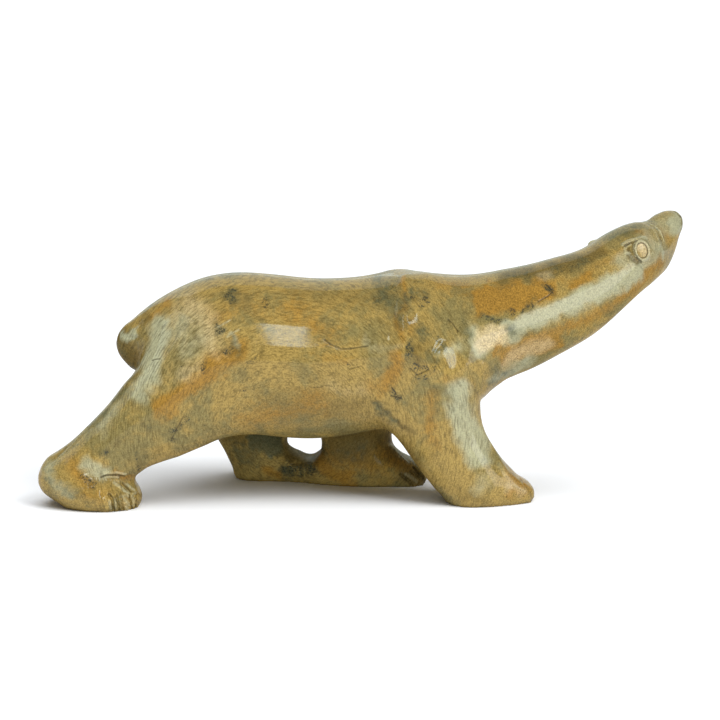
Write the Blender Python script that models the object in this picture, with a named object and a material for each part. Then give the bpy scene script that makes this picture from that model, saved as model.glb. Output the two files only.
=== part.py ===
"""A cast bronze polar bear, striding, with its long neck stretched up and turned to its left.

The bear is modelled as a sculptor builds a clay original: strings of overlapping ellipsoids are threaded on
smooth curves for the trunk, neck, head, legs and feet, melted together, and then the ears, eyes, toes and
creases are worked into the skin. Blender's units are metres. +X is the way the bear walks, +Y its left side,
+Z up, and it stands on Z = 0.
"""

from math import ceil

import bmesh
import bpy
import numpy as np
from mathutils import Matrix, Vector

# Driving dimensions, in metres.
BEAR_LENGTH = 0.505
CLAY_STEP = 0.0025
SKIN_TRIANGLES = 9400

# The stations below are in millimetres of a bear that is 505 long from heel to nose.
STATION_SPAN = 505
PART = BEAR_LENGTH / STATION_SPAN
STATION_SPACING = 4.0
FAR_AWAY = 60.0
MARGIN = 22.0
CLAY_LOW = (-262, -84, -14)
CLAY_HIGH = (282, 98, 240)

# Patinated bronze.
PATINA_COLOUR = (0.36, 0.27, 0.13, 1.0)
PATINA_METALLIC = 0.25
PATINA_ROUGHNESS = 0.38

# Each station is x, y, z, half height and half width. Half height lies in the form's own upright plane.
SPINE = [
    (-148, 0, 124, 21, 24),
    (-138, 0, 121.5, 31, 35),
    (-121, 0, 118, 44.3, 47),
    (-98, 0, 114, 57.5, 54),
    (-70, 0, 109, 61.8, 56.5),
    (-38, 0, 105.4, 62.1, 56),
    (-4, 0, 108.5, 60, 55),
    (30, 0, 112.5, 57.5, 54),
    (62, 0, 117.5, 52.3, 51),
    (88, 1, 127.4, 42.3, 45),
    (112, 3, 133.1, 41.1, 39),
    (136, 7, 140.7, 37.4, 34),
    (158, 13, 148.5, 35, 31),
    (178, 20, 157.5, 30.5, 28),
    (194, 27, 168, 26.9, 26),
    (208, 35, 179, 24.3, 25),
    (218, 42, 185, 21, 22),
]
MUZZLE = [
    (219, 44, 179.5, 25, 17),
    (233.5, 56, 186.5, 22.5, 14),
    (243.5, 64, 198.3, 15.7, 12),
    (250, 68.6, 204.3, 11, 10),
]
JAW = [
    (200, 30, 163, 18, 19),
    (218, 43, 172, 17, 16),
    (231, 54, 180, 15, 12),
]
TAIL = [
    (-140, 0, 132, 18, 24),
    (-160, 0, 127.5, 15, 19),
    (-174.5, 0, 118.3, 14.2, 15),
    (-170.5, 0, 106.8, 11.3, 12),
]
NEAR_HIND_LEG = [
    (-96, -26, 104, 48, 26),
    (-120, -31, 90, 43, 26),
    (-146, -35, 73, 37, 24),
    (-172, -38, 55, 28.5, 22),
    (-198, -39, 35, 24.5, 21),
    (-213.5, -39, 22.5, 21.3, 21),
]
NEAR_HIND_FOOT = [
    (-224.5, -38, 20.5, 18.5, 20),
    (-208, -41, 12, 17, 24),
    (-193, -42.5, 9, 14.5, 25),
    (-183, -40.5, 7.5, 12.5, 21.5),
]
FAR_HIND_LEG = [
    (-92, 30, 100, 46, 26),
    (-91, 38, 72, 38, 24),
    (-87.5, 46, 46, 31, 21),
    (-85, 50, 22, 22, 20),
    (-82, 51, 6, 20, 20),
]
FAR_HIND_FOOT = [
    (-82, 51, 8, 14, 19),
    (-58, 47, 8, 15, 20),
    (-30, 41, 8, 16, 20),
]
NEAR_FORE_LEG = [
    (34, -24, 116, 41, 30),
    (43, -28, 92, 39, 27),
    (57, -30, 66, 33, 24),
    (70, -30, 40, 29, 23),
    (86, -29, 18, 27, 24),
]
NEAR_FORE_FOOT = [
    (87, -28, 8, 14, 23),
    (102, -26, 9, 16, 24),
    (117, -22, 6, 12, 21),
]
FAR_FORE_LEG = [
    (24, 26, 112, 40, 28),
    (12, 31, 86, 36, 26),
    (-1, 33, 60, 30, 23),
    (-4, 32, 34, 29, 21),
    (-2, 32, 14, 27, 20),
]
FAR_FORE_FOOT = [
    (-22, 38, 8, 16, 20),
    (3, 33, 10.5, 19, 21),
    (21, 31, 9, 17.5, 21),
    (38, 29.5, 5, 13, 19),
]
NEAR_SHOULDER_BLADE = [
    (46, -20, 148, 23, 22),
    (42, -22, 128, 26, 26),
]
FAR_SHOULDER_BLADE = [
    (32, 22, 147.5, 23, 20),
    (30, 24, 130, 26, 24),
]
FAR_EAR_FLAP = [
    (185.3, 50.2, 185, 8, 3.5),
    (188.7, 52.7, 185, 8, 3.5),
]
TUNNEL = [
    (-41, 8, 31.5, 15, 10.5),
    (-41, 80, 31.5, 15, 10.5),
]

# How far a mass melts into the clay that it meets.
SOFT_BLEND = 20.0
LEG_BLEND = 16.0
FOOT_BLEND = 9.0
TAIL_BLEND = 12.0
MUZZLE_BLEND = 7.0
EAR_BLEND = 4.0
ELBOW_BLEND = 6.0
TUNNEL_BLEND = 5.0
PINCH_FILL = 0.3

# How square a mass is: 2 is an ellipse, and more has flatter sides.
ROUND = 2.0
TRUNK_SQUARENESS = 2.2
LEG_SQUARENESS = 2.4
PAW_SQUARENESS = 2.6

# Where fine clay is laid for the details: x, y, z and reach.
DETAIL_ROUNDS = 1
EAR_ROUNDS = 1
EAR_SPOTS = [(218, 14, 188, 11), (186, 52, 186, 11)]
HEAD_SPOTS = [
    (217, 15, 188, 17),
    (187, 50, 187, 15),
    (235, 38, 198, 11),
    (228, 60, 200, 11),
    (256, 74, 206, 13),
]
FOOT_SPOTS = [(-180, -60, 10, 15), (-173, -50, 8, 13), (42, 20, 8, 17), (120, -20, 8, 20), (-14, 30, 6, 4)]

NEAR_EAR = ((218.2, 13.6, 188.0), (0.40, -0.86, 0.32), (-0.10, 0.30, 0.95))
FAR_EAR = ((185.6, 53.4, 185.5), (-0.55, 0.78, 0.30), (0.16, -0.26, 0.95))
EAR_HALF_WIDTH = 6.9
EAR_HALF_HEIGHT = 8.3
EAR_LIP = 2.4
EAR_HOLLOW = 0.8
# Shares of the ear's reach from its centre: the lip rises, is full, and falls; the hollow is full, and ends.
EAR_LIP_RINGS = (0.56, 0.76, 0.92, 1.14)
EAR_HOLLOW_RINGS = (0.45, 0.64)

EYES = [
    [(232.6, 40.4, 202.5), (235.7, 37.2, 197.1), (238.7, 38.3, 192.4)],
    [(219.0, 60.5, 202.5), (223.5, 63.0, 198.0), (228.0, 64.5, 193.5)],
]
EYE_HALF_WIDTH = 2.0
EYE_DEPTH = 1.3

NOSTRILS = [
    [(262.0, 72.0, 208.0), (263.5, 74.5, 205.5)],
    [(256.5, 80.5, 208.0), (259.5, 81.5, 205.5)],
]
NOSE_EDGE = [(250.0, 66.0, 214.5), (255.0, 64.0, 211.8), (258.0, 63.2, 207.0)]
MOUTH = [(263.0, 78.0, 199.5), (259.0, 67.0, 197.0), (250.0, 56.0, 190.0), (243.0, 48.0, 184.0)]
LINE_HALF_WIDTH = 1.8
LINE_DEPTH = 0.9
BROW = [(223.0, 49.0, 207.8), (228.7, 43.5, 204.0), (233.5, 41.5, 201.2)]
BROW_HALF_WIDTH = 3.5
BROW_DEPTH = 1.3

NEAR_HIND_TOES = [
    [(-188.0, -65.0, 14.0), (-189.5, -68.0, 8.0), (-189.0, -67.0, 0.0)],
    [(-181.5, -62.5, 15.5), (-182.5, -66.5, 8.0), (-182.5, -66.0, 0.0)],
    [(-175.5, -59.0, 15.5), (-175.0, -63.5, 8.0), (-175.5, -63.5, 0.0)],
    [(-171.5, -53.5, 15.0), (-169.0, -57.5, 8.0), (-170.0, -58.5, 0.0)],
    [(-168.5, -46.0, 13.5), (-165.0, -49.0, 8.0), (-166.0, -50.5, 0.0)],
]
FAR_FORE_TOES = [
    [(31.6, 13.0, 16.0), (37.0, 9.6, 7.4), (42.0, 10.5, 0.0)],
    [(40.0, 17.0, 15.0), (46.0, 13.0, 7.0), (49.0, 13.5, 0.0)],
    [(43.0, 26.0, 15.0), (50.5, 23.5, 7.0), (53.0, 23.5, 0.0)],
    [(42.0, 36.0, 14.5), (50.0, 35.5, 7.0), (52.0, 35.5, 0.0)],
]
NEAR_FORE_TOES = [
    [(122.0, -22.0, 19.0), (130.5, -21.0, 9.0), (132.5, -21.0, 0.0)],
    [(119.0, -12.0, 17.0), (127.0, -9.5, 8.5), (129.0, -9.0, 0.0)],
]
TOE_HALF_WIDTH = 2.4
TOE_DEPTH = 1.7

ANKLE_WRINKLE = [(-192.5, -59.5, 26.5), (-185.5, -58.5, 28.0), (-180.5, -57.3, 28.0), (-175.9, -54.7, 25.9)]
WRINKLE_HALF_WIDTH = 3.0
WRINKLE_RISE = 1.0
SHOULDER_FOLD = [(33.2, -20.5, 172.4), (32.5, -37.1, 163.9), (31.9, -47.3, 150.3), (31.8, -54.1, 136.4)]
FOLD_HALF_WIDTH = 9.0
FOLD_RISE = 1.0
TAIL_VALLEY = [(-160.0, -25.0, 133.0), (-164.5, -24.5, 121.0), (-166.5, -22.0, 109.0)]
VALLEY_HALF_WIDTH = 12.0
VALLEY_DEPTH = 1.4
FORE_LEG_RIDGE = [
    (83.0, -40.0, 78.0),
    (87.0, -40.0, 66.0),
    (93.0, -40.0, 54.0),
    (101.0, -38.5, 42.6),
    (109.9, -41.9, 26.5),
    (121.7, -39.7, 14.8),
    (130.0, -36.0, 9.0),
]
RIDGE_HALF_WIDTH = 8.0
RIDGE_RISE = 1.6
UPPER_ARM = [(75.0, -50.0, 98.0), (82.0, -47.0, 93.0)]
ARM_HALF_WIDTH = 38.0
ARM_RISE = 6.0


def through(stations):
    """A smooth curve through the stations, as points no further apart than STATION_SPACING."""
    knots = np.array(stations, float)
    ends = np.vstack([2 * knots[0] - knots[1], knots, 2 * knots[-1] - knots[-2]])
    rows = []
    for a, b, c, d in zip(ends, ends[1:], ends[2:], ends[3:]):
        count = max(2, ceil(np.linalg.norm(c[:3] - b[:3]) / STATION_SPACING))
        for t in np.arange(count) / count:
            rows.append(
                b
                + 0.5 * t * (c - a)
                + t * t * (a - 2.5 * b + 2 * c - 0.5 * d)
                + t * t * t * (1.5 * (b - c) + 0.5 * (d - a))
            )
    rows.append(knots[-1])
    return np.array(rows)


class Clay:
    """A block of space that holds, at each point of a grid, the distance to the surface of the clay."""

    def __init__(self, low, high, step):
        self.step = step
        self.low = np.array(low, float)
        counts = np.ceil((np.array(high, float) - self.low) / step).astype(int) + 1
        self.field = np.full(counts, FAR_AWAY)

    def near(self, centre, reach):
        """The part of the grid around a point, as slices, and its points."""
        first = np.floor((centre - reach - self.low) / self.step).astype(int)
        last = np.ceil((centre + reach - self.low) / self.step).astype(int)
        first = np.clip(first, 0, None)
        last = np.minimum(last + 1, self.field.shape)
        window = tuple(slice(a, b) for a, b in zip(first, last))
        axes = [self.low[i] + self.step * np.arange(first[i], last[i]) for i in range(3)]
        return window, np.stack(np.meshgrid(*axes, indexing="ij"), axis=-1)

    def string(self, stations, square, level):
        """The distance to a string of ellipsoids threaded on a curve."""
        form = np.full(self.field.shape, FAR_AWAY)
        rows = through(stations)
        along = np.gradient(rows[:, :3], axis=0)
        along /= np.linalg.norm(along, axis=1, keepdims=True)
        for row, tangent in zip(rows, along):
            if level:
                across = np.array((-tangent[1], tangent[0], 0.0))
            else:
                across = np.array((0.0, 1.0, 0.0)) - tangent[1] * tangent
            across /= np.linalg.norm(across)
            frame = np.stack([tangent, across, np.cross(tangent, across)], axis=1)
            radii = np.array([0.5 * (row[3] + row[4]), row[4], row[3]])
            window, points = self.near(row[:3], radii.max() + MARGIN)
            scaled = np.abs((points - row[:3]) @ frame) / radii + 1e-6
            size = (scaled**square).sum(-1) ** (1 / square)
            slope = np.linalg.norm((scaled / size[..., None]) ** (square - 1) / radii, axis=-1)
            form[window] = np.minimum(form[window], (size - 1) / slope)
        return form

    def add(self, stations, blend, square=ROUND, level=False):
        self.field = smooth_least(self.field, self.string(stations, square, level), blend)

    def remove(self, stations, blend, square=ROUND, level=False):
        self.field = -smooth_least(-self.field, self.string(stations, square, level), blend)

    def rub(self):
        """Rubs sharp creases smooth: along each axis a point takes half its value from its two neighbours."""
        for axis in range(3):
            before = np.roll(self.field, 1, axis)
            after = np.roll(self.field, -1, axis)
            self.field = 0.5 * self.field + 0.25 * (before + after)

    def pinches(self):
        """The grid points round each square whose corners are in and out of the clay by turns."""
        inside = self.field < 0
        found = np.zeros(inside.shape, bool)
        for plane in ((0, 1), (0, 2), (1, 2)):
            beside, above = (np.roll(inside, -1, axis) for axis in plane)
            across = np.roll(inside, (-1, -1), plane)
            crossed = (inside == across) & (beside == above) & (inside != beside)
            for corner in ((0, 0), (1, 0), (0, 1), (1, 1)):
                found |= np.roll(crossed, corner, plane)
        return found

    def close_pinches(self):
        """Fills with clay the places where two surfaces would touch along a single edge."""
        found = self.pinches()
        while found.any():
            self.field[found] = np.minimum(self.field[found], -PINCH_FILL)
            found = self.pinches()


def smooth_least(a, b, blend):
    """The lesser of two distances, with the corner between them filled over the blend."""
    overlap = np.clip(1 - np.abs(a - b) / blend, 0, None)
    return np.minimum(a, b) - 0.25 * blend * overlap * overlap


def skin_of(clay):
    """The points and quads of the surface where the clay's distance is zero, one point to a grid cell."""
    field = clay.field
    inside = field < 0
    total = np.zeros([n - 1 for n in field.shape] + [3])
    count = np.zeros([n - 1 for n in field.shape])
    crossings = []
    for axis in range(3):
        first = [slice(None)] * 3
        second = [slice(None)] * 3
        first[axis] = slice(None, -1)
        second[axis] = slice(1, None)
        crossed = inside[tuple(first)] != inside[tuple(second)]
        where = np.argwhere(crossed)
        value = field[tuple(first)][crossed]
        share = value / (value - field[tuple(second)][crossed])
        place = where.astype(float)
        place[:, axis] += share
        others = [i for i in range(3) if i != axis]
        corners = []
        for i in (0, 1):
            for j in (0, 1):
                cell = where.copy()
                cell[:, others[0]] -= i
                cell[:, others[1]] -= j
                np.add.at(total, tuple(cell.T), place)
                np.add.at(count, tuple(cell.T), 1)
                corners.append(cell)
        flip = inside[tuple(first)][crossed] ^ (axis == 1)
        crossings.append((corners, flip))
    used = count > 0
    number = np.full(count.shape, -1)
    number[used] = np.arange(used.sum())
    points = clay.low + clay.step * total[used] / count[used][:, None]
    quads = []
    for corners, flip in crossings:
        a, b, c, d = (number[tuple(cell.T)] for cell in corners)
        loop = np.stack([a, b, d, c], axis=1)
        loop[flip] = loop[flip][:, ::-1]
        quads.append(loop)
    return points, np.concatenate(quads)


def model_clay():
    """The bear's masses, melted together."""
    step = CLAY_STEP / PART
    clay = Clay(CLAY_LOW, CLAY_HIGH, step)
    clay.add(SPINE, SOFT_BLEND, TRUNK_SQUARENESS, level=True)
    clay.add(MUZZLE, MUZZLE_BLEND, level=True)
    clay.add(JAW, FOOT_BLEND, level=True)
    clay.add(FAR_EAR_FLAP, EAR_BLEND, level=True)
    clay.add(TAIL, TAIL_BLEND)
    clay.add(NEAR_SHOULDER_BLADE, SOFT_BLEND)
    clay.add(FAR_SHOULDER_BLADE, SOFT_BLEND)
    clay.add(NEAR_HIND_LEG, LEG_BLEND, LEG_SQUARENESS)
    clay.add(NEAR_FORE_LEG, ELBOW_BLEND, LEG_SQUARENESS)
    clay.add(FAR_HIND_LEG, LEG_BLEND, LEG_SQUARENESS)
    clay.add(FAR_FORE_LEG, LEG_BLEND, LEG_SQUARENESS)
    clay.add(NEAR_HIND_FOOT, FOOT_BLEND, LEG_SQUARENESS)
    clay.add(NEAR_FORE_FOOT, FOOT_BLEND, LEG_SQUARENESS)
    clay.add(FAR_HIND_FOOT, FOOT_BLEND, PAW_SQUARENESS)
    clay.add(FAR_FORE_FOOT, FOOT_BLEND, PAW_SQUARENESS)
    clay.remove(TUNNEL, TUNNEL_BLEND, level=True)
    clay.rub()
    clay.close_pinches()
    return clay


def detail_faces(bear, spots):
    """The faces of the skin that lie within reach of any of the spots."""
    middles = np.array([face.calc_center_median() for face in bear.faces]) / PART
    near = np.zeros(len(middles), bool)
    for x, y, z, reach in spots:
        near |= np.linalg.norm(middles - (x, y, z), axis=1) < reach
    return [face for face, chosen in zip(bear.faces, near) if chosen]


def refine(bear, spots, rounds):
    """Finer clay where the ears, eyes, nose and toes are worked."""
    for _ in range(rounds):
        bear.faces.ensure_lookup_table()
        edges = {edge for face in detail_faces(bear, spots) for edge in face.edges}
        bmesh.ops.subdivide_edges(bear, edges=list(edges), cuts=1, use_grid_fill=True)
        bmesh.ops.triangulate(bear, faces=[face for face in bear.faces if len(face.verts) > 4])


def distance_to(path, points):
    """How far each point lies from a path of straight pieces."""
    path = np.array(path, float)
    nearest = np.full(len(points), np.inf)
    for a, b in zip(path, path[1:]):
        share = np.clip((points - a) @ (b - a) / ((b - a) @ (b - a)), 0, 1)
        nearest = np.minimum(nearest, np.linalg.norm(points - a - share[:, None] * (b - a), axis=1))
    return nearest


def normals_of(bear):
    bear.normal_update()
    return np.array([vert.normal for vert in bear.verts])


class Skin:
    """The skin's points and outward directions while the tools work on it, in stations' units."""

    def __init__(self, bear):
        self.bear = bear
        self.points = np.array([vert.co for vert in bear.verts]) / PART
        self.out = normals_of(bear)

    def stroke(self, path, half_width, rise):
        """A rounded ridge, or with a negative rise a groove, along a path."""
        share = np.clip(1 - (distance_to(path, self.points) / half_width) ** 2, 0, None)
        self.points += (rise * share * share)[:, None] * self.out

    def ear(self, centre, outward, upward, half_width, half_height, lip, hollow):
        """A round ear: a raised lip that circles a hollow."""
        outward = np.array(outward) / np.linalg.norm(outward)
        upward = np.array(upward) - np.dot(upward, outward) * outward
        upward /= np.linalg.norm(upward)
        offset = self.points - centre
        wide = offset @ np.cross(upward, outward) / half_width
        high = offset @ upward / half_height
        ring = np.hypot(wide, high)
        near = np.abs(offset @ outward) < 2 * half_height
        lip_share = np.interp(ring, EAR_LIP_RINGS, (0, 1, 1, 0))
        hollow_share = np.interp(ring, EAR_HOLLOW_RINGS, (1, 0))
        self.points += (near * (lip * lip_share - hollow * hollow_share))[:, None] * outward

    def finish(self):
        for vert, place in zip(self.bear.verts, self.points * PART):
            vert.co = place


def carve(skin):
    """The details that are worked into the clay by hand."""
    skin.stroke(SHOULDER_FOLD, FOLD_HALF_WIDTH, FOLD_RISE)
    skin.stroke(TAIL_VALLEY, VALLEY_HALF_WIDTH, -VALLEY_DEPTH)
    skin.stroke(UPPER_ARM, ARM_HALF_WIDTH, ARM_RISE)
    skin.stroke(FORE_LEG_RIDGE, RIDGE_HALF_WIDTH, RIDGE_RISE)
    skin.stroke(ANKLE_WRINKLE, WRINKLE_HALF_WIDTH, WRINKLE_RISE)
    for centre, outward, upward in (NEAR_EAR, FAR_EAR):
        skin.ear(centre, outward, upward, EAR_HALF_WIDTH, EAR_HALF_HEIGHT, EAR_LIP, EAR_HOLLOW)
    for eye in EYES:
        skin.stroke(eye, EYE_HALF_WIDTH, -EYE_DEPTH)
    skin.stroke(BROW, BROW_HALF_WIDTH, -BROW_DEPTH)
    for line in [*NOSTRILS, NOSE_EDGE, MOUTH]:
        skin.stroke(line, LINE_HALF_WIDTH, -LINE_DEPTH)
    for toe in NEAR_HIND_TOES + FAR_FORE_TOES + NEAR_FORE_TOES:
        skin.stroke(toe, TOE_HALF_WIDTH, -TOE_DEPTH)


def patina():
    """Waxed bronze under a mottled brown and green patina."""
    material = bpy.data.materials.new("patinated_bronze")
    material.use_nodes = True
    shader = material.node_tree.nodes["Principled BSDF"]
    shader.inputs["Base Color"].default_value = PATINA_COLOUR
    shader.inputs["Metallic"].default_value = PATINA_METALLIC
    shader.inputs["Roughness"].default_value = PATINA_ROUGHNESS
    return material


def floor_block(span, gathered):
    """A block whose top face is the floor, twice as long and wide as the bear and as deep as it is tall."""
    mesh = bpy.data.meshes.new("floor_block")
    frame = bmesh.new()
    size = Matrix.Diagonal(Vector((2 * span[0], 2 * span[1], span[2], 1)))
    middle = Matrix.Translation((0, 0, -span[2] / 2))
    bmesh.ops.create_cube(frame, size=1, matrix=middle @ size)
    frame.to_mesh(mesh)
    frame.free()
    block = bpy.data.objects.new("floor_block", mesh)
    block.hide_render = True
    block.display_type = "WIRE"
    gathered.objects.link(block)
    return block


def main():
    for old in list(bpy.data.objects):
        bpy.data.objects.remove(old)
    pieces = bpy.data.collections.new("bronze_polar_bear")
    cutters = bpy.data.collections.new("cutters")
    cutters.hide_render = True
    for collection in (pieces, cutters):
        bpy.context.scene.collection.children.link(collection)

    points, quads = skin_of(model_clay())
    mesh = bpy.data.meshes.new("polar_bear")
    mesh.from_pydata((points * PART).tolist(), [], quads.tolist())
    clay = bmesh.new()
    clay.from_mesh(mesh)
    refine(clay, HEAD_SPOTS + FOOT_SPOTS, DETAIL_ROUNDS)
    refine(clay, EAR_SPOTS, EAR_ROUNDS)
    skin = Skin(clay)
    carve(skin)
    skin.finish()
    bmesh.ops.triangulate(clay, faces=clay.faces)
    low = np.array([vert.co for vert in clay.verts]).min(0)
    high = np.array([vert.co for vert in clay.verts]).max(0)
    middle = Vector(((low[0] + high[0]) / 2, (low[1] + high[1]) / 2, 0))
    bmesh.ops.translate(clay, verts=clay.verts, vec=-middle)
    clay.to_mesh(mesh)
    clay.free()

    bear = bpy.data.objects.new("polar_bear", mesh)
    bear.data.materials.append(patina())
    pieces.objects.link(bear)
    thin = bear.modifiers.new("casting_facets", "DECIMATE")
    thin.ratio = SKIN_TRIANGLES / len(mesh.polygons)
    block = floor_block(high - low, cutters)
    block.data.materials.append(bear.data.materials[0])
    sole = bear.modifiers.new("flat_soles", "BOOLEAN")
    sole.operation = "DIFFERENCE"
    sole.solver = "EXACT"
    sole.object = block


main()
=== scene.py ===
from math import cos, pi, radians, sin, tan

import bmesh
import bpy
import numpy as np
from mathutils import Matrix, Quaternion, Vector, noise
from mathutils.bvhtree import BVHTree


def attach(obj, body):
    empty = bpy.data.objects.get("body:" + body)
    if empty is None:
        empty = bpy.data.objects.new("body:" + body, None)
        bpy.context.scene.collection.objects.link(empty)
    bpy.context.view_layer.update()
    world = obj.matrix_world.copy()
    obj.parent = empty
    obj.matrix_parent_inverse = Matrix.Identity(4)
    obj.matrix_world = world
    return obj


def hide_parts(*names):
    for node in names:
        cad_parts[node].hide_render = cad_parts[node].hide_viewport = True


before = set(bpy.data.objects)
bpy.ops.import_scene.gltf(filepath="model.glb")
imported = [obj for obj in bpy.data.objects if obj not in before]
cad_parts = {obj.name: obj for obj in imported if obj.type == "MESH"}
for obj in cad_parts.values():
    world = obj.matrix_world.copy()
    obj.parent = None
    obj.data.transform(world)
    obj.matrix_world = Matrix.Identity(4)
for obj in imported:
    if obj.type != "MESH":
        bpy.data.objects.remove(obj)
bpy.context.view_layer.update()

# The bear's skin: one hollow bronze casting, poured from a hand-built clay original. It keeps the
# form of the frame's solid: the facets are melted into one even skin of small cells and ironed flat,
# and only where the founder chased the metal afterwards are the cells made finer.
MM = 0.001
SKIN_CELL = 2.2 * MM
WELD_REACH = 0.01 * MM
SOLE_REACH = 0.7
IRON_ROUNDS = 170
IRON_REACH = 1.2
EDGE_ROUNDS = 6
MELT_ROUNDS = 22
TOUCH_UP_ROUNDS = 5
MELT_PULL = 0.55
MELT_PUSH = -0.57
RUB_PULL = 0.5

scene = bpy.context.scene
bear = bpy.data.objects.new("bear_casting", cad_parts["polar_bear"].data.copy())
scene.collection.objects.link(bear)
weld = bear.modifiers.new("weld", "WELD")
weld.merge_threshold = WELD_REACH
even_skin = bear.modifiers.new("even_skin", "REMESH")
even_skin.mode = "VOXEL"
even_skin.voxel_size = SKIN_CELL
bpy.context.view_layer.update()
skin = bpy.data.meshes.new_from_object(bear.evaluated_get(bpy.context.evaluated_depsgraph_get()))
skin.name = "bear_skin"
bear.modifiers.clear()
bear.data = skin


def points_of(mesh):
    """The mesh's points, in millimetres."""
    flat = np.empty(len(mesh.vertices) * 3, np.float32)
    mesh.vertices.foreach_get("co", flat)
    return flat.reshape(-1, 3).astype(float) / MM


def edges_of(mesh):
    """The two points of each edge."""
    flat = np.empty(len(mesh.edges) * 2, np.int32)
    mesh.edges.foreach_get("vertices", flat)
    return flat.reshape(-1, 2)


def normals_of(mesh):
    """The way out of the metal at each point."""
    flat = np.empty(len(mesh.vertices) * 3, np.float32)
    mesh.vertex_normals.foreach_get("vector", flat)
    return flat.reshape(-1, 3).astype(float)


def move_points(mesh, points):
    """Sets the points, with the soles kept flat on the floor."""
    points[:, 2] = np.where(points_of(mesh)[:, 2] < SOLE_REACH, 0, np.clip(points[:, 2], 0, None))
    mesh.vertices.foreach_set("co", (points * MM).astype(np.float32).ravel())
    mesh.update()


def drawn_in(levels, edges, amount):
    """Each point's values, drawn by a share of the way to the mean of its neighbours'."""
    joined = np.bincount(edges.ravel(), minlength=len(levels))
    means = np.empty_like(levels)
    for axis in range(levels.shape[1]):
        level = levels[:, axis]
        total = np.bincount(edges[:, 0], level[edges[:, 1]], len(level))
        total += np.bincount(edges[:, 1], level[edges[:, 0]], len(level))
        means[:, axis] = total / joined
    return levels + amount * (means - levels)


def rubbed(levels, edges, rounds):
    """The values, evened out round after round."""
    for _ in range(rounds):
        levels = drawn_in(levels, edges, RUB_PULL)
    return levels


def melt(mesh, rounds):
    """Softens facets and steps: each point is drawn to its neighbours and pushed back out again."""
    points, edges = points_of(mesh), edges_of(mesh)
    for amount in (MELT_PULL, MELT_PUSH) * rounds:
        points = drawn_in(points, edges, amount)
    move_points(mesh, points)


def iron(mesh, rounds, reach):
    """Irons broad places flat: the skin moves only where it has less than the reach to go."""
    points, edges = points_of(mesh), edges_of(mesh)
    once = rubbed(points, edges, rounds)
    flat = 2 * once - rubbed(once, edges, rounds)
    way = np.linalg.norm(flat - points, axis=1, keepdims=True)
    share = rubbed(np.clip(2 * (1 - way / reach), 0, 1), edges, EDGE_ROUNDS)
    move_points(mesh, points + share * (flat - points))


melt(skin, TOUCH_UP_ROUNDS)
iron(skin, IRON_ROUNDS, IRON_REACH)
melt(skin, MELT_ROUNDS)


# The chasing on the head: the founder's small tools on the cast metal. The ear is a ring with a raised,
# rounded rim round a shallow hollow, with folds of skin that run to it, and the eye is a slit under a
# brow that laps over the muzzle.
RIGHT, LEFT = -1, 1

# Each line is drawn as seen from the bear's right or left side, as x and z in millimetres, and has its
# half width and its rise, which for a groove is negative.
HEAD_LINES = [
    (RIGHT, [(195.5, 192.6), (199.7, 194.8), (203.8, 196.0), (209.6, 197.2), (214.7, 197.0)], 1.8, 0.9),
    (RIGHT, [(197.0, 191.5), (201.2, 193.7), (205.0, 194.6)], 1.4, -0.8),
    (RIGHT, [(206.5, 195.2), (204.2, 193.6), (203.1, 190.8), (203.4, 187.2), (205.0, 184.0)], 1.3, -1.2),
    (RIGHT, [(205.0, 184.0), (207.5, 181.0), (209.5, 179.3)], 1.7, -0.8),
    (RIGHT, [(200.2, 186.4), (197.2, 186.8), (196.6, 189.5), (198.6, 192.0), (201.4, 192.8)], 1.2, 0.7),
    (RIGHT, [(199.4, 188.4), (199.9, 190.5)], 1.5, -0.4),
    (RIGHT, [(198.9, 184.9), (202.7, 181.7), (208.2, 178.6)], 2.6, -0.7),
    (RIGHT, [(208.7, 177.0), (211.5, 172.9), (216.2, 170.8)], 1.2, -0.2),
    (RIGHT, [(222.0, 203.2), (224.2, 199.7), (225.6, 196.0), (226.9, 190.6)], 2.0, 0.4),
    (RIGHT, [(226.3, 201.9), (228.0, 199.0), (228.4, 195.6), (230.0, 191.4)], 1.5, -1.7),
    (RIGHT, [(229.1, 199.9), (230.3, 196.6), (231.6, 192.8)], 1.0, 0.6),
    (RIGHT, [(232.0, 196.3), (232.4, 193.0)], 0.9, -0.4),
    (RIGHT, [(217.4, 206.7), (221.0, 205.5), (225.2, 203.6), (228.6, 200.6)], 1.4, 0.6),
    (RIGHT, [(244.9, 213.4), (246.9, 212.2), (248.4, 210.1)], 1.1, -0.6),
    (RIGHT, [(247.6, 211.0), (250.0, 209.4)], 1.6, -0.8),
    (LEFT, [(243.0, 210.5), (246.0, 209.0)], 1.6, -0.8),
    (LEFT, [(210.8, 202.5), (215.3, 198.0), (219.8, 193.5)], 1.5, -1.1),
    (LEFT, [(213.0, 204.0), (218.0, 199.0), (222.0, 194.5)], 1.3, 0.6),
]
# Each ear has its middle in millimetres, its way out of the head and its way up.
EARS = [
    ((210.4, 8.1, 188.0), (0.40, -0.86, 0.32), (-0.10, 0.30, 0.95)),
    ((177.8, 47.9, 185.5), (-0.55, 0.78, 0.30), (0.16, -0.26, 0.95)),
]
EAR_HALF_WIDTH = 6.9
EAR_HALF_HEIGHT = 8.3
RIM_PLACE = 0.92
RIM_WIDTH = 0.15
RIM_RISE = 0.9
HOLLOW_PLACE = 0.72
HOLLOW_WIDTH = 0.05
HOLLOW_DEPTH = 0.9
EAR_REACH = 14.0
OFF_THE_EAR = 9

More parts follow.
